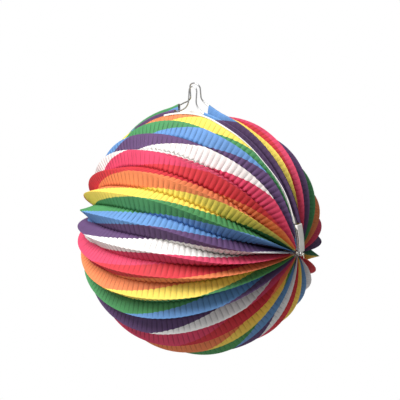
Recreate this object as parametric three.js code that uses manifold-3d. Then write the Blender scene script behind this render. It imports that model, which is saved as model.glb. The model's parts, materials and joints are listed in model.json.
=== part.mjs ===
// Accordion paper lantern: a ball of pleated paper that fans out about a horizontal fold axis between
// two hinged wire half-hoops. Each half-hoop has a loop at its top, and both loops hang on one hook.
// Units are millimetres. +Z is up, +X runs along the fold axis, and the origin is the hang point, under
// the top of the rear loop.

import * as THREE from 'three';
import { mergeVertices } from 'three/addons/utils/BufferGeometryUtils.js';
import Module from 'manifold-3d';

// ---------------------------------------------------------------- driving dimensions

const PLEATS = 29;                // folds from one wire half-hoop round to the other
const LOWEST_PLEAT = 15;          // the fold that hangs at the bottom
const WIDE_PLEATS = 6;            // folds beside the rear half-hoop, which stand wider open than the rest
const MOUTH_ANGLE = 2;            // degrees left open between the two half-hoops at the top
const RIDGE_RADIUS = 120.5;       // ball centre to the outer edge of a fold
const FACET_WIDTH = 16.5;         // paper from an outer edge to the next inner edge
const PAPER = 0.7;                // thickness of the crimped paper
const PLEAT_CLEARANCE = 0.2;      // half the space kept between two pleats at their inner edges
const PLEAT_END = 86.6;           // latitude where a pleat's gathered end stops
const FACET_END = 80;             // latitude where the two end facets stop

const WIRE_RADIUS = 0.65;
const REAR_HOOP_RADIUS = 125;
const FRONT_HOOP_RADIUS = 122.4;
const EYE_RADIUS = 1.6;           // a hoop's end eye, and how far its plane stands off the fold axis
const CENTRE_X = 7;               // how far to the right of the loops the ball's centre is
const REAR_LOOP_TOP = 150;        // ball centre to the top of the rear hanging loop
const FRONT_LOOP_TOP = 147.2;
const REAR_LOOP_NECK = 6.4;       // half the width between a loop's legs
const FRONT_LOOP_NECK = 4.7;
const LOOP_CROWN = 5;             // height of a loop's rounded top
const LOOP_LEAN = 3;              // how far a loop's top leans over the mouth
const LOOP_FOOT = 6.7;            // latitude from a loop's middle out to its feet
const FOOT_SLOPE = 0.42;          // rise over run of the wire where it comes up to a foot
const REAR_FOOT_BEND = 4.3;       // height of the bend from a foot into a leg
const FRONT_FOOT_BEND = 7.5;
const SHOULDER_END = 17;          // latitude from a loop's middle to where the raised shoulders end
const REAR_SHOULDER_RISE = 4.5;   // how far a foot stands off the hoop's circle
const FRONT_SHOULDER_RISE = 0.6;

const RIGHT_SLEEVE_START = 4;     // latitudes where the sleeves begin, beside the loop's feet
const LEFT_SLEEVE_START = -13;
const SLEEVE_END = 76;
const SLEEVE_OUTER = 1.35;
const SLEEVE_BORE = 1.03;
const TAPE_START = 76.5;
const TAPE_END = 87;
const STRIP_HALF_WIDTH = 2;
const STRIP_THICKNESS = 0.3;
const STRIP_CLEARANCE = 0.3;

const THREAD_RADIUS = 0.55;
const KNOT_RADIUS = 1.9;
const KNOT_LENGTH = 2.6;

const CARD_LENGTH = 34;
const CARD_WIDTH = 26;
const CARD_THICKNESS = 1;
const STACK_GAP = 0.3;            // space between two pieces that rest on each other
const TRAY_RADIUS = 12.5;
const TRAY_RIM = 2.2;
const TIN = 0.5;
const CUP_RADIUS = 7.2;
const CUP_HEIGHT = 12;
const CUP_SLOTS = 4;
const SLOT_WIDTH = 1.6;
const SLOT_DEPTH = 7.5;
const RIVET_RADIUS = 1.3;
const RIVET_HOLE = 1.6;
const RIVET_HEAD = 2.6;
const RIVET_HEAD_HEIGHT = 0.7;

// ---------------------------------------------------------------- derived dimensions

const FRONT_TURN = 90 - MOUTH_ANGLE / 2;
const REAR_TURN = 90 + MOUTH_ANGLE / 2;
const EVEN_PLEATS = PLEATS - WIDE_PLEATS;
const PITCH = (FRONT_TURN + 90) / LOWEST_PLEAT;
const WIDE_PITCH = (360 - MOUTH_ANGLE - EVEN_PLEATS * PITCH) / WIDE_PLEATS;
const CENTRE_Z = -(REAR_LOOP_TOP - WIRE_RADIUS);

const FRONT = {
  turn: FRONT_TURN,
  side: -1,
  radius: FRONT_HOOP_RADIUS,
  top: FRONT_LOOP_TOP,
  neck: FRONT_LOOP_NECK,
  bend: FRONT_FOOT_BEND,
  rise: FRONT_SHOULDER_RISE,
  pitch: PITCH,
};
const REAR = {
  turn: REAR_TURN,
  side: 1,
  radius: REAR_HOOP_RADIUS,
  top: REAR_LOOP_TOP,
  neck: REAR_LOOP_NECK,
  bend: REAR_FOOT_BEND,
  rise: REAR_SHOULDER_RISE,
  pitch: WIDE_PITCH,
};

const STRIPES = {
  pink: 0xe04a74,
  red: 0xd8434a,
  orange: 0xe5854e,
  yellow: 0xf8df5c,
  green: 0x4a9a5a,
  blue: 0x6497d6,
  purple: 0x5f4470,
  white: 0xf2eeea,
};
const STRIPE_ORDER = Object.keys(STRIPES);

const radians = THREE.MathUtils.degToRad;
const degrees = THREE.MathUtils.radToDeg;

const LOOP_LATITUDE = -degrees(Math.asin(CENTRE_X / REAR_HOOP_RADIUS));

// ---------------------------------------------------------------- places on the lantern

// A point in the plane through the fold axis at an angle of turn: 90 is the top and 0 the front.
// aside moves it square to that plane, towards a growing turn.
function planePoint(x, reach, turn, aside = 0) {
  const angle = radians(turn);
  return new THREE.Vector3(
    CENTRE_X + x,
    -reach * Math.cos(angle) + aside * Math.sin(angle),
    reach * Math.sin(angle) + aside * Math.cos(angle) + CENTRE_Z,
  );
}

// A point at a radius from the ball's centre. Latitude is 0 half way along a fold and 90 at the right pole.
function ballPoint(radius, latitude, turn, aside = 0) {
  const angle = radians(latitude);
  return planePoint(radius * Math.sin(angle), radius * Math.cos(angle), turn, aside);
}

// How far the paper falls from its outer edge to its inner edge, and its thickness along that fall.
function pleatSection(latitude, pitch) {
  const reach = RIDGE_RADIUS * Math.cos(radians(latitude));
  const halfPitch = reach * Math.sin(radians(pitch / 2));
  const fall = Math.sqrt(FACET_WIDTH ** 2 - halfPitch ** 2);
  const lean = Math.atan2(halfPitch, fall);
  return { fall, thickness: Math.min(PAPER / Math.sin(lean), fall / 2) };
}

// The height of the innermost paper below the ball's centre, at a distance along the lowest pleat.
function innerCrestDepth(x) {
  const latitude = degrees(Math.asin(x / RIDGE_RADIUS));
  const { fall, thickness } = pleatSection(latitude, PITCH);
  const radius = RIDGE_RADIUS - fall - thickness;
  return Math.sqrt(radius ** 2 - x ** 2) * Math.cos(radians(PITCH / 2));
}

// Evenly spaced values from one end to the other, both included.
function spread(from, to, steps) {
  return Array.from({ length: steps + 1 }, (_, i) => from + ((to - from) * i) / steps);
}

// ---------------------------------------------------------------- closed bodies from sections

// A closed geometry from points and triangles, turned inside out if its faces point inwards.
function closedGeometry(points, triangles) {
  const volume = triangles.reduce((sum, [a, b, c]) => {
    const normal = new THREE.Vector3().crossVectors(points[b], points[c]);
    return sum + points[a].dot(normal);
  }, 0);
  const outward = volume > 0 ? triangles : triangles.map(([a, b, c]) => [a, c, b]);
  const geometry = new THREE.BufferGeometry().setFromPoints(points);
  geometry.setIndex(outward.flat());
  geometry.computeVertexNormals();
  return geometry;
}

// The side faces between matching rings of points.
function sideFaces(rings, count, offset, flip) {
  const faces = [];
  for (let ring = 0; ring < rings - 1; ring += 1) {
    for (let i = 0; i < count; i += 1) {
      const a = offset + ring * count + i;
      const b = offset + ring * count + ((i + 1) % count);
      const quad = flip ? [[b, a, a + count], [b, a + count, b + count]]
        : [[a, b, b + count], [a, b + count, a + count]];
      faces.push(...quad);
    }
  }
  return faces;
}

// A solid lofted through sections, with each end closed by the given triangles.
function loft(sections, capTriangles) {
  const count = sections[0].length;
  const last = (sections.length - 1) * count;
  const faces = sideFaces(sections.length, count, 0, false);
  capTriangles.forEach(([a, b, c]) => {
    faces.push([c, b, a]);
    faces.push([last + a, last + b, last + c]);
  });
  return closedGeometry(sections.flat(), faces);
}

// A hollow sleeve lofted through matching outer and inner sections, open at both ends.
function loftSleeve(outer, inner) {
  const count = outer[0].length;
  const innerStart = outer.length * count;
  const faces = [
    ...sideFaces(outer.length, count, 0, false),
    ...sideFaces(inner.length, count, innerStart, true),
  ];
  const lastOuter = (outer.length - 1) * count;
  for (let i = 0; i < count; i += 1) {
    const next = (i + 1) % count;
    faces.push([next, i, innerStart + i], [next, innerStart + i, innerStart + next]);
    const o = lastOuter;
    const n = innerStart + lastOuter;
    faces.push([o + i, o + next, n + i], [o + next, n + next, n + i]);
  }
  return closedGeometry([...outer.flat(), ...inner.flat()], faces);
}

// A path that is cut into straight runs exactly at its stations.
class StationPath extends THREE.Curve {
  constructor(stations) {
    super();
    this.stations = stations;
  }

  getPoint(t, target = new THREE.Vector3()) {
    const place = Math.min(Math.max(t, 0), 1) * (this.stations.length - 1);
    const index = Math.min(Math.floor(place), this.stations.length - 2);
    return target.lerpVectors(this.stations[index], this.stations[index + 1], place - index);
  }

  getUtoTmapping(u) {
    return u;
  }
}

function roundShape(radius, sides) {
  const corners = spread(0, 2 * Math.PI, sides).slice(0, sides);
  return new THREE.Shape(corners.map((a) => new THREE.Vector2(radius * Math.cos(a), radius * Math.sin(a))));
}

// ---------------------------------------------------------------- wire half-hoops

// The radius of a hoop's wire, which rises off its circle on both sides of the hanging loop.
function wireRadius(hoop, latitude) {
  const away = Math.abs(latitude - LOOP_LATITUDE);
  const share = Math.max(0, (SHOULDER_END - away) / (SHOULDER_END - LOOP_FOOT));
  return hoop.radius + hoop.rise * share ** 2;
}

// Half of a hanging loop in the hoop's plane, from its top down to its foot on one hand.
function loopSide(hoop, hand) {
  const latitude = radians(LOOP_LATITUDE + hand * LOOP_FOOT);
  const radius = wireRadius(hoop, degrees(latitude));
  const foot = new THREE.Vector2(radius * Math.sin(latitude), radius * Math.cos(latitude));
  const legX = -CENTRE_X + hand * hoop.neck;
  const corner = new THREE.Vector2(legX, foot.y + FOOT_SLOPE * Math.abs(foot.x - legX));
  const legBase = new THREE.Vector2(legX, corner.y + hoop.bend);
  const bend = new THREE.QuadraticBezierCurve(legBase, corner, foot);
  const crown = spread(90, 0, 6).map((angle) => new THREE.Vector2(
    -CENTRE_X + hand * hoop.neck * Math.cos(radians(angle)),
    hoop.top - LOOP_CROWN * (1 - Math.sin(radians(angle))),
  ));
  return [...crown, ...bend.getPoints(7)];
}

// Half of a hoop's centre line on one hand, from the top of its loop to the end of its eye.
function hoopSide(hoop, hand) {
  const stand = hoop.side * EYE_RADIUS;
  const outline = loopSide(hoop, hand);
  const footReach = outline.at(-1).y;
  const loop = outline.map(({ x, y }) => {
    const lean = (LOOP_LEAN * (y - footReach)) / (hoop.top - footReach);
    return planePoint(x, y, hoop.turn, stand - hoop.side * lean);
  });
  const arc = spread(LOOP_LATITUDE + hand * LOOP_FOOT, hand * 90, 26).slice(1)
    .map((latitude) => ballPoint(wireRadius(hoop, latitude), latitude, hoop.turn, stand));
  const eye = spread(0, 262, 10).slice(1).map((angle) => planePoint(
    hand * hoop.radius,
    -EYE_RADIUS * Math.sin(radians(angle)),
    hoop.turn,
    stand * Math.cos(radians(angle)),
  ));
  return [...loop, ...arc, ...eye];
}

function wireHoop(hoop) {
  const left = hoopSide(hoop, -1).slice(1).reverse();
  const stations = [...left, ...hoopSide(hoop, 1)];
  return new THREE.ExtrudeGeometry(roundShape(WIRE_RADIUS, 8), {
    steps: stations.length - 1,
    bevelEnabled: false,
    extrudePath: new StationPath(stations),
  });
}

// ---------------------------------------------------------------- paper on the hoops

// An eight-sided ring about the hoop's wire. tail stretches its inward half down to the pleats.
function sleeveRing(hoop, latitude, size, tail) {
  const corners = spread(22.5, 382.5, 8).slice(0, 8);
  return corners.map((corner) => {
    const outward = size * Math.sin(radians(corner));
    const radial = outward < 0 ? outward * tail : outward;
    const aside = hoop.side * EYE_RADIUS + size * Math.cos(radians(corner));
    return ballPoint(wireRadius(hoop, latitude) + radial, latitude, hoop.turn, aside);
  });
}

// How much an outer ring's inward half is stretched to reach down to the pleats.
function sleeveTail(hoop, latitude) {
  const room = wireRadius(hoop, latitude) - RIDGE_RADIUS - STACK_GAP;
  return room / (SLEEVE_OUTER * Math.cos(radians(22.5)));
}

// A paper sleeve folded round the wire between two latitudes, glued shut on its inward side.
function wireSleeve(hoop, from, to, steps) {
  const latitudes = spread(from, to, steps);
  return loftSleeve(
    latitudes.map((latitude) => sleeveRing(hoop, latitude, SLEEVE_OUTER, sleeveTail(hoop, latitude))),
    latitudes.map((latitude) => sleeveRing(hoop, latitude, SLEEVE_BORE, 1)),
  );
}

// The white strip on the mouth side of a hoop, which runs on under the hanging loop.
function edgeStrip(hoop) {
  const face = EYE_RADIUS - SLEEVE_OUTER - STRIP_CLEARANCE;
  const sections = spread(-SLEEVE_END, SLEEVE_END, 24).map((latitude) => [
    [-STRIP_HALF_WIDTH, face],
    [STRIP_HALF_WIDTH, face],
    [STRIP_HALF_WIDTH, face - STRIP_THICKNESS],
    [-STRIP_HALF_WIDTH, face - STRIP_THICKNESS],
  ].map(([radial, aside]) => ballPoint(hoop.radius + radial, latitude, hoop.turn, hoop.side * aside)));
  return loft(sections, [[0, 1, 2], [0, 2, 3]]);
}

// ---------------------------------------------------------------- pleated paper

// The pitch between an outer edge and the next: pleats are numbered from the front half-hoop, which is 0.
function pitchAfter(index) {
  return index < EVEN_PLEATS ? PITCH : WIDE_PITCH;
}

function pleatTurn(index) {
  const wide = Math.max(index - EVEN_PLEATS, 0);
  return FRONT_TURN - (index - wide) * PITCH - wide * WIDE_PITCH;
}

// A pleat's inner edge on one side: its angle from the pleat's own plane, its radius and the thickness.
function innerEdge(latitude, pitch) {
  const { fall, thickness } = pleatSection(latitude, pitch);
  const reach = (RIDGE_RADIUS - fall) * Math.cos(radians(latitude));
  const angle = pitch / 2 - degrees(PLEAT_CLEARANCE / reach);
  return { angle, radius: RIDGE_RADIUS - (fall * angle) / (pitch / 2), thickness };
}

// One whole fold: two facets that meet at the outer edge.
function pleat(index) {
  const turn = pleatTurn(index);
  const sections = spread(-PLEAT_END, PLEAT_END, 22).map((latitude) => {
    const ahead = innerEdge(latitude, pitchAfter(index - 1));
    const behind = innerEdge(latitude, pitchAfter(index));
    return [
      ballPoint(RIDGE_RADIUS, latitude, turn),
      ballPoint(ahead.radius, latitude, turn + ahead.angle),
      ballPoint(ahead.radius - ahead.thickness, latitude, turn + ahead.angle),
      ballPoint(RIDGE_RADIUS - ahead.thickness, latitude, turn),
      ballPoint(behind.radius - behind.thickness, latitude, turn - behind.angle),
      ballPoint(behind.radius, latitude, turn - behind.angle),
    ];
  });
  return loft(sections, [[0, 1, 2], [0, 2, 3], [0, 3, 4], [0, 4, 5]]);
}

// The single facet between a hoop's sleeve and the first inner edge, thickened square to itself.
function endFacet(hoop) {
  const sections = spread(-FACET_END, FACET_END, 20).map((latitude) => {
    const edge = innerEdge(latitude, hoop.pitch);
    const valley = RIDGE_RADIUS - pleatSection(latitude, hoop.pitch).fall;
    const top = ballPoint(RIDGE_RADIUS, latitude, hoop.turn, hoop.side * EYE_RADIUS);
    const bottom = ballPoint(valley, latitude, hoop.turn + hoop.side * edge.angle);
    const ridge = ballPoint(RIDGE_RADIUS, latitude, hoop.turn);
    const along = ballPoint(RIDGE_RADIUS, latitude + hoop.side, hoop.turn).sub(ridge);
    const inward = bottom.clone().sub(top).cross(along).setLength(PAPER);
    return [top, bottom, bottom.clone().add(inward), top.clone().add(inward)];
  });
  return loft(sections, [[0, 1, 2], [0, 2, 3]]);
}

// ---------------------------------------------------------------- threads at the poles

// A short thread through both wire eyes, knotted outside the rear eye and inside the front eye.
function poleThread() {
  const outerKnot = REAR_HOOP_RADIUS + WIRE_RADIUS + STACK_GAP;
  const innerKnot = FRONT_HOOP_RADIUS - WIRE_RADIUS - STACK_GAP;
  const knot = (start, way) => spread(0, 180, 6).map((angle) => new THREE.Vector2(
    THREAD_RADIUS + (KNOT_RADIUS - THREAD_RADIUS) * Math.sin(radians(angle)),
    start + way * KNOT_LENGTH * (1 - Math.cos(radians(angle))) / 2,
  ));
  const profile = [
    new THREE.Vector2(0, innerKnot - KNOT_LENGTH),
    ...knot(innerKnot - KNOT_LENGTH, 1),
    ...knot(outerKnot, 1),
    new THREE.Vector2(0, outerKnot + KNOT_LENGTH),
  ];
  return new THREE.LatheGeometry(profile, 12);
}

// ---------------------------------------------------------------- candle holder

function candleCard() {
  const outline = new THREE.Shape([
    new THREE.Vector2(-CARD_LENGTH / 2, -CARD_WIDTH / 2),
    new THREE.Vector2(CARD_LENGTH / 2, -CARD_WIDTH / 2),
    new THREE.Vector2(CARD_LENGTH / 2, CARD_WIDTH / 2),
    new THREE.Vector2(-CARD_LENGTH / 2, CARD_WIDTH / 2),
  ]);
  outline.holes.push(new THREE.Path(roundShape(RIVET_HOLE, 16).getPoints()));
  return new THREE.ExtrudeGeometry(outline, { depth: CARD_THICKNESS, bevelEnabled: false });
}

// A shallow tin tray with a turned-up rim and a rivet hole.
function dripTray() {
  const profile = [
    [RIVET_HOLE, 0],
    [TRAY_RADIUS - 1, 0],
    [TRAY_RADIUS, TRAY_RIM],
    [TRAY_RADIUS - TIN, TRAY_RIM],
    [TRAY_RADIUS - 1 - TIN, TIN],
    [RIVET_HOLE, TIN],
    [RIVET_HOLE, 0],
  ].map(([radius, height]) => new THREE.Vector2(radius, height));
  return new THREE.LatheGeometry(profile, 32);
}

function cupBlank() {
  const profile = [
    [RIVET_HOLE, 0],
    [CUP_RADIUS, 0],
    [CUP_RADIUS, CUP_HEIGHT],
    [CUP_RADIUS - TIN, CUP_HEIGHT],
    [CUP_RADIUS - TIN, TIN],
    [RIVET_HOLE, TIN],
    [RIVET_HOLE, 0],
  ].map(([radius, height]) => new THREE.Vector2(radius, height));
  return new THREE.LatheGeometry(profile, 32);
}

function rivet(shankLength) {
  const profile = [
    [0, -RIVET_HEAD_HEIGHT],
    [RIVET_HEAD * 0.7, -RIVET_HEAD_HEIGHT],
    [RIVET_HEAD, -0.2],
    [RIVET_HEAD, 0],
    [RIVET_RADIUS, 0],
    [RIVET_RADIUS, shankLength],
    [RIVET_HEAD, shankLength],
    [RIVET_HEAD, shankLength + 0.2],
    [RIVET_HEAD * 0.7, shankLength + RIVET_HEAD_HEIGHT],
    [0, shankLength + RIVET_HEAD_HEIGHT],
  ].map(([radius, height]) => new THREE.Vector2(radius, height));
  return new THREE.LatheGeometry(profile, 16);
}

// LatheGeometry turns about Y: this stands it up along Z.
function stoodUp(geometry) {
  return geometry.rotateX(Math.PI / 2);
}

const wasm = await Module();
wasm.setup();

function toManifold(geometry) {
  const bare = geometry.clone();
  bare.deleteAttribute('normal');
  bare.deleteAttribute('uv');
  const merged = mergeVertices(bare, 1e-4);
  return new wasm.Manifold(new wasm.Mesh({
    numProp: 3,
    vertProperties: new Float32Array(merged.attributes.position.array),
    triVerts: new Uint32Array(merged.index.array),
  }));
}

function fromManifold(manifold) {
  const mesh = manifold.getMesh();
  const geometry = new THREE.BufferGeometry();
  geometry.setAttribute('position', new THREE.BufferAttribute(mesh.vertProperties, 3));
  geometry.setIndex(new THREE.BufferAttribute(mesh.triVerts, 1));
  geometry.computeVertexNormals();
  return geometry;
}

// The candle cup, slotted from its mouth into springy fingers.
function candleCup() {
  let cup = toManifold(stoodUp(cupBlank()));
  for (let i = 0; i < CUP_SLOTS / 2; i += 1) {
    const slot = new THREE.BoxGeometry(4 * CUP_RADIUS, SLOT_WIDTH, 2 * SLOT_DEPTH);
    slot.rotateZ(Math.PI / 4 + (i * 2 * Math.PI) / CUP_SLOTS);
    slot.translate(0, 0, CUP_HEIGHT);
    cup = cup.subtract(toManifold(slot));
  }
  return fromManifold(cup);
}

// ---------------------------------------------------------------- assembly

const lantern = new THREE.Group();

function addMesh(name, geometry, material, parent = lantern) {
  const mesh = new THREE.Mesh(geometry, new THREE.MeshStandardMaterial(material));
  mesh.name = name;
  parent.add(mesh);
  return mesh;
}

const steel = { color: 0x9a9c9e, roughness: 0.35, metalness: 1 };
const tin = { color: 0xb8babc, roughness: 0.3, metalness: 1 };
const whitePaper = { color: 0xf1ece2, roughness: 0.85, metalness: 0 };
const sleevePaper = { color: 0x5b86c2, roughness: 0.85, metalness: 0 };
const thread = { color: 0xe8e2d4, roughness: 0.9, metalness: 0 };
const greyCard = { color: 0xb9ada0, roughness: 0.9, metalness: 0 };

function stripePaper(index) {
  return { color: STRIPES[STRIPE_ORDER[index % STRIPE_ORDER.length]], roughness: 0.8, metalness: 0 };
}

function addHoop(label, hoop) {
  addMesh(`${label}_wire_hoop`, wireHoop(hoop), steel);
  addMesh(`${label}_sleeve_right`, wireSleeve(hoop, RIGHT_SLEEVE_START, SLEEVE_END, 20), sleevePaper);
  addMesh(`${label}_sleeve_left`, wireSleeve(hoop, -SLEEVE_END, LEFT_SLEEVE_START, 18), sleevePaper);
  addMesh(`${label}_edge_strip`, edgeStrip(hoop), whitePaper);
}

function addPleats() {
  addMesh('front_end_facet', endFacet(FRONT), stripePaper(2));
  for (let index = 1; index < PLEATS; index += 1) {
    const name = `pleat_${String(index).padStart(2, '0')}`;
    addMesh(name, pleat(index), stripePaper(2 + 2 * index));
  }
  addMesh('rear_end_facet', endFacet(REAR), stripePaper(2 + 2 * PLEATS));
}

function addPoles() {
  addMesh('right_pole_tape', wireSleeve(FRONT, TAPE_START, TAPE_END, 3), whitePaper);
  addMesh('left_pole_tape', wireSleeve(FRONT, -TAPE_END, -TAPE_START, 3), whitePaper);
  const poles = new THREE.Group();
  poles.position.set(CENTRE_X, 0, CENTRE_Z);
  lantern.add(poles);
  addMesh('right_pole_thread', poleThread(), thread, poles).rotation.z = -Math.PI / 2;
  addMesh('left_pole_thread', poleThread(), thread, poles).rotation.z = Math.PI / 2;
}

function addCandleHolder() {
  const holder = new THREE.Group();
  holder.position.set(CENTRE_X, 0, CENTRE_Z - innerCrestDepth(CARD_LENGTH / 2) + STACK_GAP);
  lantern.add(holder);
  const trayBase = CARD_THICKNESS + STACK_GAP;
  const cupBase = trayBase + TIN + STACK_GAP;
  const cupFloor = cupBase + TIN;
  addMesh('candle_card', candleCard(), greyCard, holder);
  addMesh('candle_tray', stoodUp(dripTray()), tin, holder).position.z = trayBase;
  addMesh('candle_cup', candleCup(), tin, holder).position.z = cupBase;
  const shankLength = cupFloor + 2 * STACK_GAP;
  addMesh('candle_rivet', stoodUp(rivet(shankLength)), steel, holder).position.z = -STACK_GAP;
}

addHoop('front', FRONT);
addHoop('rear', REAR);
addPleats();
addPoles();
addCandleHolder();

export default lantern;
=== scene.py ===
"""The looks of the accordion paper lantern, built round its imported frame.

Lengths are metres in the frame's own axes: +X along the fold axis, +Z up, -Y to the front. Turns and
latitudes are degrees. The folds are one printed, crimped sheet. A crease number counts the sheet's outer
and inner edges from the front wire hoop (0) to the rear one (LAST_CREASE): even creases are outer edges,
odd ones are inner edges, and the numbers between them are places on the facets.
"""

import json
import math

import bmesh
import bpy
import numpy as np
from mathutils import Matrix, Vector


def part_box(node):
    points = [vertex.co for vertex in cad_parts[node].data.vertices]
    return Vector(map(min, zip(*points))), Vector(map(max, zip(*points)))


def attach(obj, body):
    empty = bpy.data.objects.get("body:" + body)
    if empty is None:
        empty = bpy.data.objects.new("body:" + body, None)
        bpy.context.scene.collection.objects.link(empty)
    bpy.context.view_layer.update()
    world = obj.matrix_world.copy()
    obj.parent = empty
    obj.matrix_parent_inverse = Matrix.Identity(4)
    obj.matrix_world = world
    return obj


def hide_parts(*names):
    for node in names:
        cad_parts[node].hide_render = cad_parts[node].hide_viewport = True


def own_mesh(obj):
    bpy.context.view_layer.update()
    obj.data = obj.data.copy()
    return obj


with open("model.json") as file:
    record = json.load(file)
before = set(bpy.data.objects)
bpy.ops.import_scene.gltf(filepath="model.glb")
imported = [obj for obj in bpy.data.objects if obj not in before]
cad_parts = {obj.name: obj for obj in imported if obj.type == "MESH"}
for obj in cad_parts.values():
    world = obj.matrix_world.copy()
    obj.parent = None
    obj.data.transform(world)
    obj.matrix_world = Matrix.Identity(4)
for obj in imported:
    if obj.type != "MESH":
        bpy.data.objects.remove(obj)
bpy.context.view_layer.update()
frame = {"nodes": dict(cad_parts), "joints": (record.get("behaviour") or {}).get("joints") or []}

# ---------------------------------------------------------------- sizes

MM = 0.001

FOLD_JOINT = "frame_fold"
CENTRE = np.array(next(j["pos_m"] for j in frame["joints"] if j["name"] == FOLD_JOINT))
FOLDS = sorted(node for node in frame["nodes"] if node.startswith("pleat_"))
PLEATS = len(FOLDS) + 1
LOWEST_PLEAT = 15
WIDE_PLEATS = 6                    # those beside the rear half-hoop stand wider open
LAST_CREASE = 2 * PLEATS
FIRST_WIDE_CREASE = LAST_CREASE - 2 * WIDE_PLEATS
RIDGE_RADIUS = CENTRE[2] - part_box(f"pleat_{LOWEST_PLEAT:02d}")[0].z

MOUTH_ANGLE = 2
PITCH = (180 - MOUTH_ANGLE / 2) / LOWEST_PLEAT
WIDE_PITCH = (360 - MOUTH_ANGLE - (PLEATS - WIDE_PLEATS) * PITCH) / WIDE_PLEATS
FACET_WIDTH = 16.5 * MM
PAPER = 0.22 * MM
SHEET_END = 88.2                   # latitude where the gathered sheet stops
HEM_SAG = 2.2 * MM                 # of the sheet's front end edge, right of the loop
TURN_WANDER = 0.22                 # how far a crease wanders round the lantern, and in and out
RADIUS_WANDER = 0.45 * MM
LOOP_DIP = 3.2 * MM                # how far the last fold is pressed in beside the rear loop
LOOP_DIP_SPREAD = 1.3              # and over how many creases

# Folds that have slipped round the front wire: by how many degrees, about which crease and how widely.
SLIPPED_UP = (7.5, 3.05, 2.6)
SLIPPED_DOWN = (6.5, 12.6, 3.0)

CRIMP_SPACING = 2.9                # degrees of latitude to a crimp
ROW_STEP = 0.22
FACET_STEPS = 5
RIDGE_CRIMP = 0.34 * MM            # heights of the crimps at outer, inner and end edges
VALLEY_CRIMP = 0.95 * MM
HEM_CRIMP = 0.12 * MM
CRIMP_SKEW = 0.24                  # makes the grooves narrower than the crests
CRIMP_SHARPNESS = 0.09             # and both of them sharper
HALVED_HEIGHT = 0.6                # height of a halved crimp, as a share of a whole one
GATHERED_HEIGHT = 0.12             # and of the crimps beside the poles
WHOLE_DEPTH = 1.2                  # the wave's value where a groove's painted shade is darkest
HALVED_DEPTH = 0.75                # and that for a halved crimp

WIRE_RADIUS = 0.65 * MM
EYE_RADIUS = 1.6 * MM
LOOP_CROWN = 5 * MM
LOOP_LEAN = 3 * MM
LOOP_FOOT = 6.7
FOOT_SLOPE = 0.42
SHOULDER_END = 17
EYE_CURL = 262                     # how far round the wire's end is bent into an eye
LEG_X = -7 * MM                    # the loops' middle, from the ball's centre
SLEEVE_START = {"right": 4, "left": -13}         # latitudes of the sleeves' cut ends beside the loops
SLEEVE_END = 76

FRONT = {
    "label": "front",
    "turn": 90 - MOUTH_ANGLE / 2,
    "side": -1,
    "radius": 122.4 * MM,
    "top": 147.2 * MM,
    "neck": 4.7 * MM,
    "bend": 7.5 * MM,
    "rise": 0.6 * MM,
    "crease": 0,
    "pitch": PITCH,
}
REAR = {
    "label": "rear",
    "turn": 90 + MOUTH_ANGLE / 2,
    "side": 1,
    "radius": 125 * MM,
    "top": 150 * MM,
    "neck": 6.4 * MM,
    "bend": 4.3 * MM,
    "rise": 4.5 * MM,
    "crease": LAST_CREASE,
    "pitch": WIDE_PITCH,
}
LOOP_LATITUDE = math.degrees(math.asin(LEG_X / REAR["radius"]))

# The printed stripes: how many there are to a crease, and how far they drift for a degree of latitude.
FIRST_STRIPE = -12.154
FRONT_CREASES = 30
FRONT_STRIPES = 0.9133
REAR_STRIPES = 1.10
STRIPE_DRIFT = 0.0196
REAR_SPREAD = 0.0009               # how much less they drift for every crease past the front ones
MOUTH_DRIFT = 0.0097               # and how much more beside the front wire, on the right
MOUTH_CREASES = 8
LAST_SHIFT = 0.4                   # how far the print is ahead on the folds beside the rear wire
SHIFT_START = LAST_CREASE - 4.5
SHIFT_END = LAST_CREASE - 1.5

STRIPES = {
    "white": (0.880, 0.855, 0.825),
    "pink": (0.700, 0.068, 0.145),
    "red": (0.620, 0.045, 0.058),
    "orange": (0.800, 0.240, 0.095),
    "yellow": (0.920, 0.710, 0.125),
    "green": (0.075, 0.280, 0.105),
    "blue": (0.140, 0.300, 0.600),
    "purple": (0.125, 0.066, 0.165),
}

random = np.random.default_rng(11)

# ---------------------------------------------------------------- places on the lantern


def plane_point(x, reach, turn, aside=0.0):
    """A point in the plane through the fold axis at a turn in degrees: 90 is the top, 0 the front.

    aside moves it square to that plane, towards a growing turn."""
    angle = np.radians(turn)
    y = -reach * np.cos(angle) + aside * np.sin(angle)
    z = reach * np.sin(angle) + aside * np.cos(angle)
    return CENTRE + np.stack(np.broadcast_arrays(x, y, z), axis=-1)


def ball_point(radius, latitude, turn, aside=0.0):
    """A point at a radius from the ball's centre: latitude 0 is half way along, 90 the right pole."""
    angle = np.radians(latitude)
    return plane_point(radius * np.sin(angle), radius * np.cos(angle), turn, aside)


def fall(latitude, pitch):
    """How far the paper falls from an outer edge to the next inner edge."""
    half_pitch = RIDGE_RADIUS * np.cos(np.radians(latitude)) * math.sin(math.radians(pitch / 2))
    return np.sqrt(FACET_WIDTH**2 - half_pitch**2)


def crease_turn(crease):
    """The turn of a crease: creases are counted from the front half-hoop round to the rear one."""
    wide = max(crease - FIRST_WIDE_CREASE, 0)
    return FRONT["turn"] - (crease - wide) * PITCH / 2 - wide * WIDE_PITCH / 2


def crowding(crease, latitude):
    """How far, in degrees, folds near the front wire have slipped round it towards the right pole."""
    return (bulge(crease, *SLIPPED_UP) - bulge(crease, *SLIPPED_DOWN)) * smooth_step(12, 66, latitude)


def bulge(value, height, middle, spread):
    """A smooth bulge of a height about a middle."""
    return height * math.exp(-(((value - middle) / spread) ** 2))


def smooth_step(low, high, value):
    share = np.clip((value - low) / (high - low), 0, 1)
    return share * share * (3 - 2 * share)


def waves(value, count, slowest, fastest):
    """A smooth random function of value, about -1 to 1."""
    rates = random.uniform(slowest, fastest, count)
    phases = random.uniform(0, 2 * math.pi, count)
    return sum(np.sin(value * rate + phase) for rate, phase in zip(rates, phases)) / math.sqrt(count)


# ---------------------------------------------------------------- the folded sheet

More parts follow.
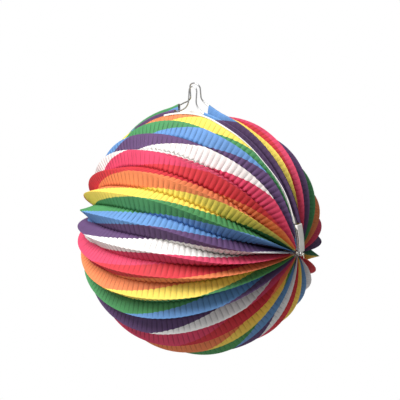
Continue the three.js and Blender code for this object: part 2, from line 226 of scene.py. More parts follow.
LATITUDES = np.linspace(-SHEET_END, SHEET_END, round(2 * SHEET_END / ROW_STEP) + 1)
CALM = 0.5 * smooth_step(-20, 35, LATITUDES)     # the crimps calm down towards the right pole


def hem_radius(hoop, latitude):
    """The radius of the sheet's end edge, which sags a little under the front wire, right of the loop."""
    if hoop is REAR:
        return RIDGE_RADIUS
    return RIDGE_RADIUS - HEM_SAG * smooth_step(2, 20, latitude) * (1 - smooth_step(42, 66, latitude))


def crease_lines():
    """Every crease of the sheet, as a line of points from the left pole to the right pole."""
    lines = []
    away_from_poles = np.cos(np.radians(LATITUDES)) ** 0.5
    near_loop = 1 - smooth_step(20, 48, np.abs(LATITUDES))
    for crease in range(LAST_CREASE + 1):
        if crease in (0, LAST_CREASE):
            hoop = FRONT if crease == 0 else REAR
            radius = hem_radius(hoop, LATITUDES)
            lines.append(ball_point(radius, LATITUDES, hoop["turn"], hoop["side"] * EYE_RADIUS))
            continue
        turn = crease_turn(crease) + crowding(crease, LATITUDES)
        turn = turn + TURN_WANDER * waves(LATITUDES, 4, 0.02, 0.11) * away_from_poles
        pitch = PITCH if crease < FIRST_WIDE_CREASE else WIDE_PITCH
        radius = RIDGE_RADIUS - (crease % 2) * fall(LATITUDES, pitch)
        radius = radius + RADIUS_WANDER * waves(LATITUDES, 4, 0.02, 0.12) * away_from_poles
        radius = radius - bulge(crease, LOOP_DIP, LAST_CREASE - 2, LOOP_DIP_SPREAD) * near_loop
        lines.append(ball_point(radius, LATITUDES, turn))
    return lines


def crimp_wave(crease, crimp):
    """The crimps' height from about -1 to 1: on both faces of a fold the grooves are the narrow part.

    Here and there, mostly left of the middle, a crimp is halved by a groove of its own."""
    facet = math.floor(crease) % 2
    along = crease - math.floor(crease)
    skew = CRIMP_SKEW * math.sin(math.pi * along) * (1 if facet == 1 else -1)
    angle = 2 * math.pi * crimp
    whole = np.sin(angle) - CRIMP_SHARPNESS * np.sin(3 * angle) + skew * np.cos(2 * angle)
    halved = HALVED_HEIGHT * (np.sin(2 * angle) + skew * np.cos(4 * angle))
    share = between(HALVED_SHARE, crease)
    return whole * (1 - share) + halved * share


def crimp_height(crease):
    """How high the crimps stand at a crease coordinate."""
    inner = abs((crease + 1) % 2 - 1)
    outer_height = HEM_CRIMP if crease < 1 or crease > LAST_CREASE - 1 else RIDGE_CRIMP
    height = outer_height + (VALLEY_CRIMP - outer_height) * inner
    gathered = GATHERED_HEIGHT + (1 - GATHERED_HEIGHT) * (1 - smooth_step(56, 84, np.abs(LATITUDES)))
    return height * gathered * (1 - CALM)


# For every crease: its points, how far its crimps are moved along, how high they are, and how much of
# each is halved.
CREASES = crease_lines()
CRIMP_DRIFT = [0.12 * waves(LATITUDES, 3, 0.03, 0.09) for _ in range(LAST_CREASE + 1)]
CRIMP_SHARE = [1 + 0.3 * waves(LATITUDES, 4, 0.3, 1.3) for _ in range(LAST_CREASE + 1)]
MOSTLY_LEFT = np.exp(-(((LATITUDES + 18) / 30) ** 2))
HALVED_SHARE = [
    np.clip(0.5 + 0.6 * waves(LATITUDES, 4, 0.03, 0.15), 0, 0.9) * MOSTLY_LEFT
    for _ in range(LAST_CREASE + 1)
]


def between(lines, crease):
    """A value that is kept for every crease, at any crease coordinate."""
    low = min(math.floor(crease), LAST_CREASE - 1)
    share = crease - low
    return lines[low] * (1 - share) + lines[low + 1] * share


def crimp_count(crease):
    """How many crimps there are from half way along the lantern to each row of points."""
    return LATITUDES / CRIMP_SPACING + between(CRIMP_DRIFT, crease)


def sheet_line(crease):
    """The points of the sheet along one crease coordinate, crimps included."""
    turn = math.radians(crease_turn(crease))
    tangent = np.array([0, math.sin(turn), math.cos(turn)])
    wave = crimp_wave(crease, crimp_count(crease))
    height = crimp_height(crease) * between(CRIMP_SHARE, crease) * wave
    return between(CREASES, crease) + height[:, None] * tangent


def groove(crease):
    """How deep each row of points lies in a groove of the printed face, from 0 to 1: this sets how much
    painted shade the groove gets.
    """
    inward = 1 if math.floor(crease) % 2 == 0 else -1
    deepest = WHOLE_DEPTH + (HALVED_DEPTH - WHOLE_DEPTH) * between(HALVED_SHARE, crease)
    depth = np.clip(inward * crimp_wave(crease, crimp_count(crease)) / deepest, 0, 1)
    away_from_creases = math.sin(math.pi * (crease % 1)) ** 0.5
    fading = 1 - CALM - 0.5 * smooth_step(60, 86, np.abs(LATITUDES))
    return depth**1.5 * away_from_creases * fading


def stripe(crease, latitude):
    """Which stripe is printed at a place: the whole part numbers the stripes, in the order of STRIPES."""
    front = np.minimum(crease, FRONT_CREASES)
    rear = np.maximum(crease - FRONT_CREASES, 0)
    beside_mouth = np.maximum(1 - front / MOUTH_CREASES, 0)
    drift = (STRIPE_DRIFT - REAR_SPREAD * rear) * latitude
    drift = drift + MOUTH_DRIFT * beside_mouth * np.maximum(latitude, 0)
    ahead = LAST_SHIFT * smooth_step(SHIFT_START, SHIFT_END, crease)
    return FIRST_STRIPE + FRONT_STRIPES * front + REAR_STRIPES * rear + drift + ahead


def mesh_piece(name, points, faces, materials, uv=None, smooth=True):
    """A mesh object from points and faces, with an optional print map given for every point."""
    mesh = bpy.data.meshes.new(name)
    mesh.from_pydata([tuple(p) for p in points], [], [tuple(f) for f in faces])
    if uv is not None:
        layer = mesh.uv_layers.new(name="print")
        corners = np.zeros(len(mesh.loops), np.int32)
        mesh.loops.foreach_get("vertex_index", corners)
        layer.data.foreach_set("uv", uv[corners].astype(np.float32).ravel())
    if smooth:
        mesh.shade_smooth()
    else:
        mesh.shade_flat()
    piece = bpy.data.objects.new(name, mesh)
    for material in materials:
        mesh.materials.append(material)
    bpy.context.scene.collection.objects.link(piece)
    return piece


def grid_faces(columns, rows, flip=False, closed=False):
    """The quads of a grid whose points run row by row within each column."""
    column = np.arange(columns if closed else columns - 1)
    row = np.arange(rows - 1)
    first, low = np.meshgrid(column, row, indexing="ij")
    second = (first + 1) % columns
    a, b = first * rows + low, second * rows + low
    quads = np.stack([a, b, b + 1, a + 1], axis=-1).reshape(-1, 4)
    return quads[:, ::-1] if flip else quads


def apply_modifiers(piece):
    """Makes the piece's modifiers part of its mesh."""
    graph = bpy.context.evaluated_depsgraph_get()
    final = bpy.data.meshes.new_from_object(piece.evaluated_get(graph))
    piece.modifiers.clear()
    piece.data = final
    return piece


def thicken(piece, thickness, back=1, offset=-1):
    """Gives a surface a thickness: back is how far down the list its other side's material is."""
    solidify = piece.modifiers.new("thickness", "SOLIDIFY")
    solidify.thickness = thickness
    solidify.offset = offset
    solidify.material_offset = back
    solidify.material_offset_rim = back
    return apply_modifiers(piece)


def flatten_with_fold(piece):
    """Gives the piece its own copy of its mesh."""
    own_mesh(piece)


def stand_for(piece, body, *nodes):
    """The piece rides on a body and replaces its CAD nodes, which are hidden."""
    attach(piece, body)
    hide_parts(*nodes)
    return piece


def paper_between(name, first, last):
    """The stretch of the sheet between two creases, as one thin piece of paper."""
    creases = np.linspace(first, last, (last - first) * FACET_STEPS + 1)
    points = np.concatenate([sheet_line(crease) for crease in creases])
    shade = np.concatenate([groove(crease) for crease in creases])
    crease, latitude = (grid.ravel() for grid in np.meshgrid(creases, LATITUDES, indexing="ij"))
    uv = np.stack([stripe(crease, latitude) / len(STRIPES), shade], axis=-1)
    faces = grid_faces(len(creases), len(LATITUDES))
    piece = mesh_piece(name, points, faces, [PRINTED_PAPER, PLAIN_BACK], uv)
    sharpen_outer_edges(piece, creases)
    return thicken(piece, PAPER)


def sharpen_outer_edges(piece, creases):
    """Keeps the outer edges of the folds crisp under smooth shading."""
    rows = len(LATITUDES)
    outer = np.isclose(creases % 2, 0)
    outer[[0, -1]] = False
    ends = np.zeros(len(piece.data.edges) * 2, np.int32)
    piece.data.edges.foreach_get("vertices", ends)
    columns = ends.reshape(-1, 2) // rows
    sharp = (columns[:, 0] == columns[:, 1]) & outer[columns[:, 0]]
    attribute = piece.data.attributes.new("sharp_edge", "BOOLEAN", "EDGE")
    attribute.data.foreach_set("value", sharp)


# ---------------------------------------------------------------- materials

SOAKED_LIGHT = 0.16                # share of the light that soaks through the thin paper
SHOW_THROUGH = 0.22                # share of the print that shows on the paper's back


class Nodes:
    """A material's node tree, with short calls for adding and joining nodes."""

    def __init__(self, name):
        self.material = bpy.data.materials.new(name)
        self.material.use_nodes = True
        self.tree = self.material.node_tree
        self.shader = self.tree.nodes["Principled BSDF"]

    def add(self, kind, settings=None, **inputs):
        node = self.tree.nodes.new(kind)
        for key, value in (settings or {}).items():
            setattr(node, key, value)
        for key, value in inputs.items():
            self.put(node.inputs[key.replace("_", " ")], value)
        return node

    def put(self, socket, value):
        if isinstance(value, bpy.types.NodeSocket):
            self.tree.links.new(value, socket)
        else:
            socket.default_value = value

    def math(self, operation, first, second=0.0):
        node = self.add("ShaderNodeMath", {"operation": operation})
        self.put(node.inputs[0], first)
        self.put(node.inputs[1], second)
        return node.outputs[0]

    def mix(self, share, first, second, blend="MIX"):
        node = self.add("ShaderNodeMix", {"data_type": "RGBA", "blend_type": blend})
        self.put(node.inputs["Factor"], share)
        self.put(node.inputs["A"], first)
        self.put(node.inputs["B"], second)
        return node.outputs["Result"]

    def ramp(self, value, stops, interpolation="LINEAR"):
        node = self.add("ShaderNodeValToRGB")
        self.put(node.inputs["Fac"], value)
        ramp = node.color_ramp
        ramp.interpolation = interpolation
        while len(ramp.elements) > 1:
            ramp.elements.remove(ramp.elements[-1])
        for index, (place, colour) in enumerate(stops):
            element = ramp.elements[0] if index == 0 else ramp.elements.new(place)
            element.position = place
            element.color = (*colour, 1)
        return node.outputs["Color"]

    def greys(self, value, first, second):
        """A grey that follows a value, between two pairs of a value and its brightness."""
        return self.ramp(value, [(place, (brightness,) * 3) for place, brightness in (first, second)])

    def darkened(self, colour, value, first, second):
        """A colour times a grey that follows a value."""
        return self.mix(1.0, colour, self.greys(value, first, second), "MULTIPLY")

    def noise(self, scale, detail, roughness=0.5):
        node = self.add("ShaderNodeTexNoise", Scale=scale, Detail=detail, Roughness=roughness)
        self.put(node.inputs["Vector"], self.add("ShaderNodeTexCoord").outputs["Object"])
        return node.outputs["Fac"]

    def bump(self, height, strength, distance):
        node = self.add("ShaderNodeBump", Strength=strength, Distance=distance, Height=height)
        self.put(self.shader.inputs["Normal"], node.outputs["Normal"])

    def shade(self, **inputs):
        for key, value in inputs.items():
            self.put(self.shader.inputs[key.replace("_", " ")], value)

    def let_light_through(self, colour, share):
        """Mixes in light that soaks through the thin paper from its other side."""
        soaked = self.add("ShaderNodeBsdfTranslucent")
        self.put(soaked.inputs["Color"], colour)
        mixed = self.add("ShaderNodeMixShader")
        self.put(mixed.inputs[0], share)
        self.put(mixed.inputs[1], self.shader.outputs["BSDF"])
        self.put(mixed.inputs[2], soaked.outputs["BSDF"])
        self.put(self.tree.nodes["Material Output"].inputs["Surface"], mixed.outputs["Shader"])


def stripe_colour(nodes, wobble):
    """The printed stripes' colour, with a slightly uneven edge, and the share of painted shade from the print
    map.
    """
    print_map = nodes.add("ShaderNodeUVMap", {"uv_map": "print"})
    parts = nodes.add("ShaderNodeSeparateXYZ", Vector=print_map.outputs["UV"])
    place = nodes.math("FRACT", nodes.math("ADD", parts.outputs["X"], wobble))
    stops = [(index / len(STRIPES), colour) for index, colour in enumerate(STRIPES.values())]
    return nodes.ramp(place, stops, "CONSTANT"), parts.outputs["Y"]


def printed_paper():
    nodes = Nodes("printed_paper")
    fibres = nodes.noise(900, 4, roughness=0.65)
    cloud = nodes.noise(60, 3)
    edge = nodes.math("MULTIPLY", nodes.math("SUBTRACT", nodes.noise(260, 2), 0.5), 0.008)
    colour, depth = stripe_colour(nodes, edge)
    # Painted shade: the print is darkened by the print map's second value, in the crimps' grooves and on the
    # sleeves right of the loop.
    shaded_print = nodes.darkened(colour, depth, (0.1, 1.0), (0.8, 0.44))
    mottled = nodes.darkened(shaded_print, cloud, (0.3, 0.92), (0.7, 1.06))
    speckled = nodes.darkened(mottled, fibres, (0.35, 0.94), (0.65, 1.05))
    nodes.shade(Base_Color=speckled, Specular_IOR_Level=0.25)
    nodes.shade(Roughness=nodes.greys(cloud, (0.3, 0.62), (0.7, 0.78)))
    nodes.bump(fibres, 0.25, 0.0001)
    nodes.let_light_through(speckled, SOAKED_LIGHT)
    return nodes.material


def plain_back():
    """The sheet's unprinted side, where a little of the print shows through."""
    nodes = Nodes("paper_back")
    fibres = nodes.noise(900, 4, roughness=0.65)
    colour, _ = stripe_colour(nodes, 0.0)
    shown = nodes.mix(SHOW_THROUGH, (0.84, 0.81, 0.76, 1), colour)
    speckled = nodes.darkened(shown, fibres, (0.35, 0.95), (0.65, 1.03))
    nodes.shade(Base_Color=speckled, Roughness=0.85, Specular_IOR_Level=0.2)
    nodes.bump(fibres, 0.3, 0.0001)
    nodes.let_light_through(speckled, SOAKED_LIGHT)
    return nodes.material


def white_paper():
    nodes = Nodes("white_paper")
    fibres = nodes.noise(1200, 5, roughness=0.7)
    stains = nodes.noise(90, 3)
    base = nodes.ramp(stains, [(0.35, (0.80, 0.77, 0.73)), (0.65, (0.90, 0.875, 0.84))])
    speckled = nodes.darkened(base, fibres, (0.35, 0.93), (0.65, 1.03))
    nodes.shade(Base_Color=speckled, Roughness=0.82, Specular_IOR_Level=0.25)
    nodes.bump(fibres, 0.35, 0.00012)
    return nodes.material


def steel_wire():
    nodes = Nodes("steel_wire")
    drawn = nodes.noise(700, 3)
    grime = nodes.noise(120, 3)
    nodes.shade(Base_Color=nodes.greys(grime, (0.3, 0.46), (0.7, 0.66)), Metallic=1.0)
    nodes.shade(Roughness=nodes.greys(drawn, (0.3, 0.24), (0.7, 0.42)))
    nodes.bump(drawn, 0.15, 0.00006)
    return nodes.material


def tin_plate():
    nodes = Nodes("tin_plate")
    spangle = nodes.noise(260, 4, roughness=0.6)
    smudge = nodes.noise(45, 3)
    nodes.shade(Base_Color=nodes.ramp(spangle, [(0.3, (0.60, 0.61, 0.62)), (0.7, (0.76, 0.76, 0.75))]))
    nodes.shade(Metallic=1.0, Roughness=nodes.greys(smudge, (0.3, 0.2), (0.7, 0.42)))
    nodes.bump(spangle, 0.12, 0.00008)
    return nodes.material


def grey_card():
    nodes = Nodes("grey_card")
    fibres = nodes.noise(500, 6, roughness=0.75)
    flecks = nodes.noise(1500, 2)
    base = nodes.ramp(fibres, [(0.3, (0.40, 0.35, 0.30)), (0.7, (0.56, 0.50, 0.44))])
    flecked = nodes.darkened(base, flecks, (0.32, 0.7), (0.42, 1.0))
    nodes.shade(Base_Color=flecked, Roughness=0.9, Specular_IOR_Level=0.2)
    nodes.bump(fibres, 0.4, 0.0002)
    return nodes.material


def twisted_thread():
    nodes = Nodes("twisted_thread")
    fuzz = nodes.noise(2500, 3)
    wave = nodes.add("ShaderNodeTexWave", {"bands_direction": "DIAGONAL"}, Scale=900.0)
    nodes.put(wave.inputs["Vector"], nodes.add("ShaderNodeTexCoord").outputs["Object"])
    strand = wave.outputs["Fac"]
    nodes.shade(Base_Color=nodes.ramp(strand, [(0.0, (0.62, 0.57, 0.48)), (0.7, (0.84, 0.80, 0.72))]))
    nodes.shade(Roughness=nodes.greys(fuzz, (0.3, 0.8), (0.7, 0.95)), Specular_IOR_Level=0.2)
    nodes.bump(strand, 0.6, 0.0002)
    return nodes.material


PRINTED_PAPER = printed_paper()
PLAIN_BACK = plain_back()
WHITE_PAPER = white_paper()
STEEL_WIRE = steel_wire()
TIN_PLATE = tin_plate()
GREY_CARD = grey_card()
TWISTED_THREAD = twisted_thread()

# ---------------------------------------------------------------- the folds


def make_folds():
    for number, node in enumerate(FOLDS, start=1):
        piece = paper_between(f"paper_fold_{number:02d}", 2 * number - 1, 2 * number + 1)
        stand_for(piece, f"{node}_body", node)
        flatten_with_fold(piece)


def make_end_facet(hoop):
    first = min(hoop["crease"], LAST_CREASE - 1)
    piece = paper_between(f"paper_{hoop['label']}_end_facet", first, first + 1)
    stand_for(piece, f"{hoop['label']}_frame", f"{hoop['label']}_end_facet")
    flatten_with_fold(piece)


# ---------------------------------------------------------------- wire half-hoops


def sweep(line, section):
    """Points of a section, given as (sideways, outward) pairs, carried along a line of points."""
    ahead = np.gradient(line, axis=0)
    ahead /= np.linalg.norm(ahead, axis=1, keepdims=True)
    side = np.zeros_like(line)
    guess = np.array([0.0, 1.0, 0.0])
    for index, direction in enumerate(ahead):
        guess = guess - direction * (guess @ direction)
        guess /= np.linalg.norm(guess)
        side[index] = guess
    out = np.cross(side, ahead)
    return np.stack([line + side * a + out * b for a, b in section])


def round_section(radius, sides):
    angles = np.linspace(0, 2 * math.pi, sides, endpoint=False)
    return [(radius * math.cos(angle), radius * math.sin(angle)) for angle in angles]


def tube(name, line, radius, material, sides=12):
    """A closed round bar along a line of points."""
    columns = sweep(line, round_section(radius, sides))
    rows = len(line)
    faces = [tuple(face) for face in grid_faces(sides, rows, closed=True)]
    faces.append(tuple(column * rows for column in range(sides)))
    faces.append(tuple(column * rows + rows - 1 for column in reversed(range(sides))))
    piece = mesh_piece(name, columns.reshape(-1, 3), faces, [material])
    fix_outward(piece)
    return piece


def fix_outward(piece):
    """Turns a closed mesh's faces outward."""
    mesh = bmesh.new()
    mesh.from_mesh(piece.data)
    bmesh.ops.recalc_face_normals(mesh, faces=mesh.faces)
    mesh.to_mesh(piece.data)
    mesh.free()


def wire_radius(hoop, latitude):
    """The radius of a hoop's wire, which rises off its circle on both sides of the hanging loop."""
    share = np.maximum((SHOULDER_END - np.abs(latitude - LOOP_LATITUDE)) / (SHOULDER_END - LOOP_FOOT), 0)
    return hoop["radius"] + hoop["rise"] * share**2


def loop_outline(hoop, sign):
    """Half of a hanging loop as (x, reach) pairs, from its top down to its foot on one hand."""
    latitude = LOOP_LATITUDE + sign * LOOP_FOOT
    radius = wire_radius(hoop, latitude)
    foot = np.array([radius * math.sin(math.radians(latitude)), radius * math.cos(math.radians(latitude))])
    leg_x = LEG_X + sign * hoop["neck"]
    corner = np.array([leg_x, foot[1] + FOOT_SLOPE * abs(foot[0] - leg_x)])
    leg_base = corner + [0, hoop["bend"]]
    angles = np.radians(np.linspace(90, 0, 15))
    crown_x = LEG_X + sign * hoop["neck"] * np.cos(angles)
    crown = np.stack([crown_x, hoop["top"] - LOOP_CROWN * (1 - np.sin(angles))], axis=-1)
    leg = np.linspace(crown[-1], leg_base, 6)[1:-1]
    share = np.linspace(0, 1, 16)[:, None]
    bend = leg_base * (1 - share) ** 2 + corner * 2 * share * (1 - share) + foot * share**2
    return np.concatenate([crown, leg, bend])


def hoop_side(hoop, sign):
    """Half of a hoop's centre line on one hand, from the top of its loop to the end of its eye."""
    stand = hoop["side"] * EYE_RADIUS
    x, reach = loop_outline(hoop, sign).T
    lean = LOOP_LEAN * (reach - reach[-1]) / (hoop["top"] - reach[-1])
    loop = plane_point(x, reach, hoop["turn"], stand - hoop["side"] * lean)
    latitudes = np.linspace(LOOP_LATITUDE + sign * LOOP_FOOT, sign * 90, 90)[1:]
    arc = ball_point(wire_radius(hoop, latitudes), latitudes, hoop["turn"], stand)
    curl = np.radians(np.linspace(0, EYE_CURL, 24)[1:])
    eye_reach = -EYE_RADIUS * np.sin(curl)
    eye = plane_point(sign * hoop["radius"], eye_reach, hoop["turn"], stand * np.cos(curl))
    return np.concatenate([loop, arc, eye])


def hoop_line(hoop):
    """A hoop's centre line from one end eye, over the hanging loop, to the other eye."""
    return np.concatenate([hoop_side(hoop, -1)[:0:-1], hoop_side(hoop, 1)])


def make_hoop(hoop):
    piece = tube(f"{hoop['label']}_wire", hoop_line(hoop), WIRE_RADIUS, STEEL_WIRE)
    stand_for(piece, f"{hoop['label']}_frame", f"{hoop['label']}_wire_hoop")


# ---------------------------------------------------------------- paper on the hoops

TAIL = 0.2 * MM                    # how far a sleeve's flap runs down the end facet
FLAP = {"front": 2.5 * MM, "rear": 10 * MM}      # and down the mouth side
GAP = 0.35 * MM
WRAP = WIRE_RADIUS + GAP           # radius of the paper round the wire
FLARE = {"left": 0.9 * MM, "right": 0.3 * MM}    # how much wider that is at the sleeve's cut end
FLARE_FADING = 6                   # degrees
# Painted shade on the sleeves right of the loop: how much their print is darkened.
SLEEVE_PAINTED_SHADE = 0.6

# The stripe at the top of each sleeve, and how the print drifts for a millimetre down, for a degree left
# and right of the middle, and for the first degrees of the sleeves right of the loop.
SLEEVE_STRIPES = {"front": {"left": 8.0, "right": 6.3}, "rear": {"left": 6.42, "right": 6.2}}
SLEEVE_DRIFT = {"down": 0.067, "left": 0.03, "right": 0.0115, "start": 0.034}
START_DEGREES = 20

STRIP_THICKNESS = 0.25 * MM
STRIP_RADIUS = 120.3 * MM
STRIP_WANDER = 0.2 * MM
STRIP_ASIDE = 1.15 * MM
STRIP_HALF_WIDTH = 1.9 * MM
FRONT_STRIP_LIFT = 0.4 * MM
FRONT_STRIP_CLIMB = 2.4 * MM       # and how much higher it lies near the right pole
FRONT_STRIP_INSIDE = -0.6 * MM     # its place left of the loop, and how much farther out the rest is
FRONT_STRIP_STEP = EYE_RADIUS + WRAP + 1.05 * MM
FRONT_STRIP_HALF_WIDTH = 0.9 * MM
FRONT_STRIP_TAPER = 0.5 * MM

TAPE_THICKNESS = 0.2 * MM
TAPE_START = 76.5
TAPE_LIP_ENDS = (77.5, 78.7)       # latitudes between which the lip runs out
TAPE_END = 88.9
TAPE_LIP = 2.4 * MM
TAPE_LIP_LEFT = 0.05 * MM
TAPE_FRONT = -4.3 * MM
TAPE_REAR = 3.6 * MM

THREAD_RADIUS = 0.32 * MM
KNOT_TURNS = 3.5
KNOT_RADIUS = 0.95 * MM
KNOT_LENGTH = 1.9 * MM
LOOSE_END = 4 * MM


def facet_aside(hoop, depth, latitude):
    """How far aside of its hoop's plane an end facet is, at a depth below its top edge."""
    valley_reach = (RIDGE_RADIUS - fall(latitude, hoop["pitch"])) * np.cos(np.radians(latitude))
    valley_aside = valley_reach * math.sin(math.radians(hoop["pitch"] / 2))
    share = depth / fall(latitude, hoop["pitch"])
    return EYE_RADIUS + (valley_aside - EYE_RADIUS) * share


def sleeve_columns(hoop, latitudes, flare):
    """The sleeve's section, from its outer flap over the wire to its mouth-side flap.

    flare is how much wider than snug the fold round the wire is."""
    columns = []
    wire = wire_radius(hoop, latitudes)
    hem = hem_radius(hoop, latitudes)
    wrap = WRAP + flare
    flap = FLAP[hoop["label"]]

    def add(radius, aside):
        columns.append(ball_point(radius, latitudes, hoop["turn"], hoop["side"] * aside))

    for depth in (TAIL, 0):
        add(hem - depth, facet_aside(hoop, depth, latitudes) + GAP)
    for angle in np.radians(np.linspace(0, 180, 9)):
        add(wire + wrap * math.sin(angle), EYE_RADIUS + wrap * math.cos(angle))
    for depth in np.linspace(0, flap, 7)[1:]:
        inward = 0.5 * math.sin(math.pi * depth / flap) + 0.4 * depth / flap
        add(wire - depth, EYE_RADIUS - wrap - inward * MM)
    return columns


def sleeve_stripe(hoop, hand, radius, latitude):
    """The stripe printed on a sleeve: it runs on across the paper, and along it past the loop."""
    down = SLEEVE_DRIFT["down"] * (REAR["radius"] + WRAP - radius) / MM
    along = SLEEVE_DRIFT["left"] * np.minimum(latitude, 0) + SLEEVE_DRIFT["right"] * np.maximum(latitude, 0)
    start = SLEEVE_DRIFT["start"] * np.clip(latitude - SLEEVE_START["right"], 0, START_DEGREES)
    return SLEEVE_STRIPES[hoop["label"]][hand] + down + along + start


def make_sleeve(hoop, hand):
    """The paper folded round the wire on one side of the hanging loop, with its cut end left open."""
    sign = 1 if hand == "right" else -1
    start = SLEEVE_START[hand]
    latitudes = np.linspace(start, sign * SLEEVE_END, round(SLEEVE_END / ROW_STEP))
    flare = FLARE[hand] * np.exp(-np.abs(latitudes - start) / FLARE_FADING)
    columns = sleeve_columns(hoop, latitudes, flare)
    ripple = HEM_CRIMP * np.sin(2 * math.pi * latitudes / CRIMP_SPACING)
    turn = math.radians(hoop["turn"])
    tangent = np.array([0, math.sin(turn), math.cos(turn)])
    points = np.concatenate([column + ripple[:, None] * tangent for column in columns])
    latitude = np.tile(latitudes, len(columns))
    radius = np.linalg.norm(points - CENTRE, axis=1)
    printed = sleeve_stripe(hoop, hand, radius, latitude)
    # Painted shade: the sleeves grow darker right of the loop, through the print map's second value.
    painted_shade = SLEEVE_PAINTED_SHADE * smooth_step(6, 24, latitude)
    uv = np.stack([printed / len(STRIPES), painted_shade], axis=-1)
    faces = grid_faces(len(columns), len(latitudes), flip=(sign * hoop["side"] < 0))
    name = f"{hoop['label']}_paper_sleeve_{hand}"
    piece = mesh_piece(name, points, faces, [PRINTED_PAPER, PLAIN_BACK], uv)
    thicken(piece, PAPER)
    stand_for(piece, f"{hoop['label']}_frame", f"{hoop['label']}_sleeve_{hand}")
    flatten_with_fold(piece)


def white_band(name, columns, thickness):
    """A band of white paper through columns of points."""
    faces = grid_faces(len(columns), len(columns[0]))
    piece = mesh_piece(name, np.concatenate(columns), faces, [WHITE_PAPER])
    return thicken(piece, thickness, back=0, offset=0)


def make_strip(hoop):
    """The white strip low along a hoop.

    Left of the loop the front one is on the mouth side of its sleeve, where it is hidden from outside."""
    latitudes = np.linspace(-SLEEVE_END, SLEEVE_END, 300)
    middle = STRIP_RADIUS + STRIP_WANDER * waves(latitudes, 4, 0.05, 0.2)
    aside = STRIP_ASIDE
    half_width = STRIP_HALF_WIDTH
    if hoop is FRONT:
        climb = FRONT_STRIP_CLIMB * smooth_step(40, 62, latitudes)
        middle = middle + hem_radius(hoop, latitudes) - RIDGE_RADIUS + FRONT_STRIP_LIFT + climb
        aside = FRONT_STRIP_INSIDE + FRONT_STRIP_STEP * smooth_step(-24, -18, latitudes)
        half_width = FRONT_STRIP_HALF_WIDTH - FRONT_STRIP_TAPER * smooth_step(14, 38, latitudes)
    columns = []
    for share in np.linspace(1, -1, 5):
        columns.append(ball_point(middle + share * half_width, latitudes, hoop["turn"], hoop["side"] * aside))
    piece = white_band(f"{hoop['label']}_white_strip", columns, STRIP_THICKNESS)
    stand_for(piece, f"{hoop['label']}_frame", f"{hoop['label']}_edge_strip")
    flatten_with_fold(piece)


def make_tape(hand):
    """A white tape beside a pole, laid flat over both wires, with a short lip down its front edge."""
    sign = 1 if hand == "right" else -1
    latitudes = np.linspace(TAPE_START, TAPE_END, 24)
    lip = TAPE_LIP_LEFT + TAPE_LIP * (1 - smooth_step(*TAPE_LIP_ENDS, latitudes))
    outer = REAR["radius"] + WRAP
    columns = []
    for share in (1, 0.5):
        columns.append(ball_point(outer - share * lip, sign * latitudes, 90, TAPE_FRONT))
    for aside in np.linspace(TAPE_FRONT, TAPE_REAR, 13):
        columns.append(ball_point(outer, sign * latitudes, 90, aside))
    piece = white_band(f"{hand}_white_tape", columns, TAPE_THICKNESS)
    stand_for(piece, "front_frame", f"{hand}_pole_tape")


def make_thread(hand):
    """The thread through both wire eyes at a pole: a wound knot on either side and a short loose end."""
    sign = 1 if hand == "right" else -1
    line = []
    for start, way in ((FRONT["radius"] - WRAP, -1), (REAR["radius"] + WRAP, 1)):
        wound = []
        for share in np.linspace(0, 1, 60):
            angle = 2 * math.pi * KNOT_TURNS * share
            out = KNOT_RADIUS * min(1, 6 * share)
            wound.append((start + way * KNOT_LENGTH * share, out * math.cos(angle), out * math.sin(angle)))
        line.extend(wound[::-1] if way < 0 else wound)
    end = line[-1]
    for share in np.linspace(0, 1, 8)[1:]:
        line.append((end[0] + 0.5 * MM * share, end[1] + 0.4 * MM * share, end[2] - LOOSE_END * share**1.5))
    points = np.array([(sign * x, sign * y, z) for x, y, z in line]) + CENTRE
    piece = tube(f"{hand}_thread", points, THREAD_RADIUS, TWISTED_THREAD, sides=8)
    stand_for(piece, "rear_frame", f"{hand}_pole_thread")


# ---------------------------------------------------------------- parts kept from the frame

KEPT = {
    "candle_card": GREY_CARD,
    "candle_tray": TIN_PLATE,
    "candle_cup": TIN_PLATE,
    "candle_rivet": STEEL_WIRE,
}


def dress_kept_parts():
    for node, material in KEPT.items():
        part = frame["nodes"][node]
        part.data.materials.clear()
        part.data.materials.append(material)


# ---------------------------------------------------------------- studio

FLOOR_RADIUS = 1.8
FLOOR_DROP = 0.8                   # from the lantern's middle
LIGHT_FROM_FRONT = 0.54
LIGHT_FROM_BEHIND = 0.26

CAMERA_AZIMUTH = 38.05
CAMERA_ELEVATION = 15.175
CAMERA_DISTANCE = 3.511
CAMERA_RIGHT = 0.39 * MM           # how far it is moved aside, and up, from looking at the middle
CAMERA_UP = 31.9 * MM
CAMERA_LENS = 320.0                # millimetres, as is the sensor
CAMERA_SENSOR = 36.0


def make_floor():
    """A pale round floor, well below the hanging lantern."""
    angles = np.linspace(0, 2 * math.pi, 96, endpoint=False)
    height = CENTRE[2] - FLOOR_DROP
    rim = [(FLOOR_RADIUS * math.cos(a), FLOOR_RADIUS * math.sin(a), height) for a in angles]
    nodes = Nodes("floor")
    nodes.shade(Base_Color=(0.60, 0.59, 0.58, 1), Roughness=0.9)
    floor = mesh_piece("floor", rim, [tuple(range(len(rim)))], [nodes.material], smooth=False)


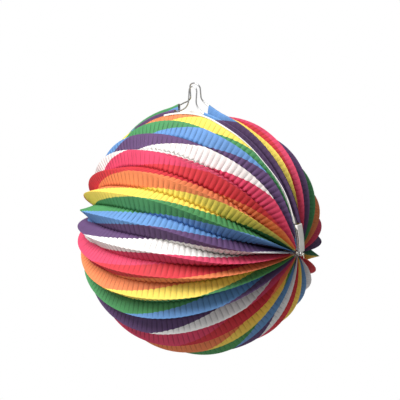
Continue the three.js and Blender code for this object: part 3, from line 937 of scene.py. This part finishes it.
def make_light():
    """A white backdrop, soft light from all round that is weaker from behind, and one large soft lamp."""
    world = bpy.data.worlds.new("studio")
    world.use_nodes = True
    tree = world.node_tree
    surroundings = tree.nodes["Background"]
    towards = tree.nodes.new("ShaderNodeSeparateXYZ")
    dimming = tree.nodes.new("ShaderNodeMapRange")
    dimming.inputs["From Min"].default_value = -1
    dimming.inputs["From Max"].default_value = 1
    dimming.inputs["To Min"].default_value = LIGHT_FROM_FRONT
    dimming.inputs["To Max"].default_value = LIGHT_FROM_BEHIND
    tree.links.new(tree.nodes.new("ShaderNodeTexCoord").outputs["Generated"], towards.inputs[0])
    tree.links.new(towards.outputs["Y"], dimming.inputs["Value"])
    tree.links.new(dimming.outputs["Result"], surroundings.inputs["Strength"])
    backdrop = tree.nodes.new("ShaderNodeBackground")
    seen = tree.nodes.new("ShaderNodeLightPath")
    chosen = tree.nodes.new("ShaderNodeMixShader")
    for background in (surroundings, backdrop):
        background.inputs["Color"].default_value = (1, 1, 1, 1)
    tree.links.new(seen.outputs["Is Camera Ray"], chosen.inputs[0])
    tree.links.new(surroundings.outputs[0], chosen.inputs[1])
    tree.links.new(backdrop.outputs[0], chosen.inputs[2])
    tree.links.new(chosen.outputs[0], tree.nodes["World Output"].inputs["Surface"])
    bpy.context.scene.world = world
    add_softbox("key", azimuth=-18, elevation=50, distance=1.6, size=0.9, power=41)


def direction(azimuth, elevation):
    """The unit vector towards a viewer or lamp: azimuth 0 is in front and 90 on the right."""
    a, e = math.radians(azimuth), math.radians(elevation)
    return Vector((math.sin(a) * math.cos(e), -math.cos(a) * math.cos(e), math.sin(e)))


def add_softbox(name, azimuth, elevation, distance, size, power):
    lamp = bpy.data.lights.new(name, "AREA")
    lamp.size = size
    lamp.energy = power
    place = bpy.data.objects.new(name, lamp)
    towards = direction(azimuth, elevation)
    place.location = Vector(CENTRE) + towards * distance
    place.rotation_mode = "QUATERNION"
    place.rotation_quaternion = towards.to_track_quat("Z", "Y")
    place.visible_camera = False
    bpy.context.scene.collection.objects.link(place)


def make_camera():
    back = direction(CAMERA_AZIMUTH, CAMERA_ELEVATION)
    turned = math.radians(CAMERA_AZIMUTH)
    right = Vector((math.cos(turned), math.sin(turned), 0))
    up = back.cross(right)
    camera = bpy.data.cameras.new("camera")
    camera.lens = CAMERA_LENS
    camera.sensor_width = CAMERA_SENSOR
    camera.clip_end = 50
    place = bpy.data.objects.new("camera", camera)
    place.rotation_mode = "QUATERNION"
    place.rotation_quaternion = back.to_track_quat("Z", "Y")
    place.location = Vector(CENTRE) + back * CAMERA_DISTANCE + right * CAMERA_RIGHT + up * CAMERA_UP
    bpy.context.scene.collection.objects.link(place)
    bpy.context.scene.camera = place
    bpy.context.scene.view_settings.view_transform = "Standard"


make_folds()
for hoop in (FRONT, REAR):
    make_end_facet(hoop)
    make_hoop(hoop)
    make_strip(hoop)
    for hand in ("right", "left"):
        make_sleeve(hoop, hand)
for hand in ("right", "left"):
    make_tape(hand)
    make_thread(hand)
dress_kept_parts()
make_floor()
make_light()
make_camera()
